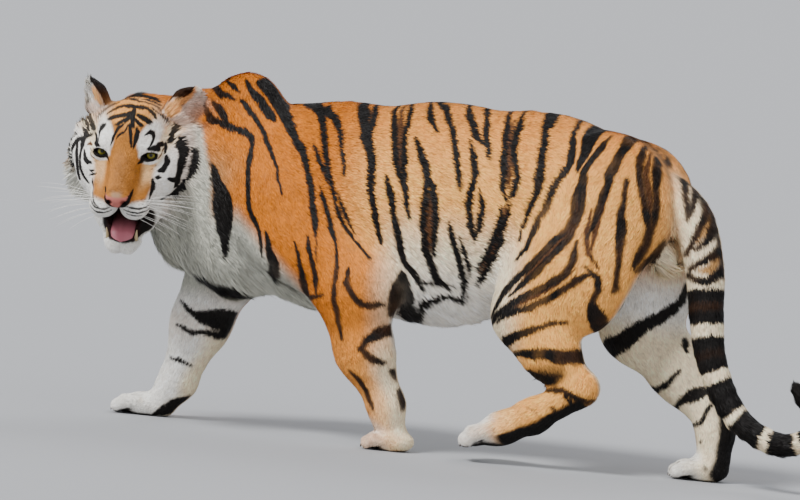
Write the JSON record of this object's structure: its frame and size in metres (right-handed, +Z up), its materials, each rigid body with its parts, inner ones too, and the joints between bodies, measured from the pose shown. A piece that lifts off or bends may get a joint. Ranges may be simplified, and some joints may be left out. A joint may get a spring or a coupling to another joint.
{
  "type": "tiger",
  "caption": "Life-size still tiger in mid stride, head turned to its left, mouth a little open, one hind foot lifted and the tail curled up at the tip.",
  "frame": {"origin": "middle of the outline seen from above, on the floor", "axes": "+Z up, the tiger walks towards -X, its left side faces -Y"},
  "size_m": [2.038, 0.5666, 0.9278],
  "materials": {
    "coat": "short fur, orange above and white below with dark brown stripes",
    "eye": "wet, yellow-olive iris and round pupil",
    "tongue": "soft and damp",
    "tooth": "satin ivory",
    "skin": "bare skin of the nose, lips and pads",
    "claw": "horn"
  },
  "bodies": {
    "root": {"head": "coat", "jaw": "coat", "ear_left": "coat", "ear_right": "coat", "neck": "coat", "shoulder_left": "coat", "shoulder_right": "coat", "chest": "coat", "loin": "coat", "rump": "coat", "thigh_left": "coat", "thigh_right": "coat", "foreleg_left": "coat", "foreleg_right": "coat", "hindleg_left": "coat", "hindleg_right": "coat", "forepaw_left": "coat", "forepaw_right": "coat", "hindpaw_left": "coat", "hindpaw_right": "coat", "tail_root": "coat", "tail_middle": "coat", "tail_tip": "coat", "eye_left": "eye", "eye_right": "eye", "tongue": "tongue", "tooth_left": "tooth", "tooth_right": "tooth"}
  },
  "joints": []
}
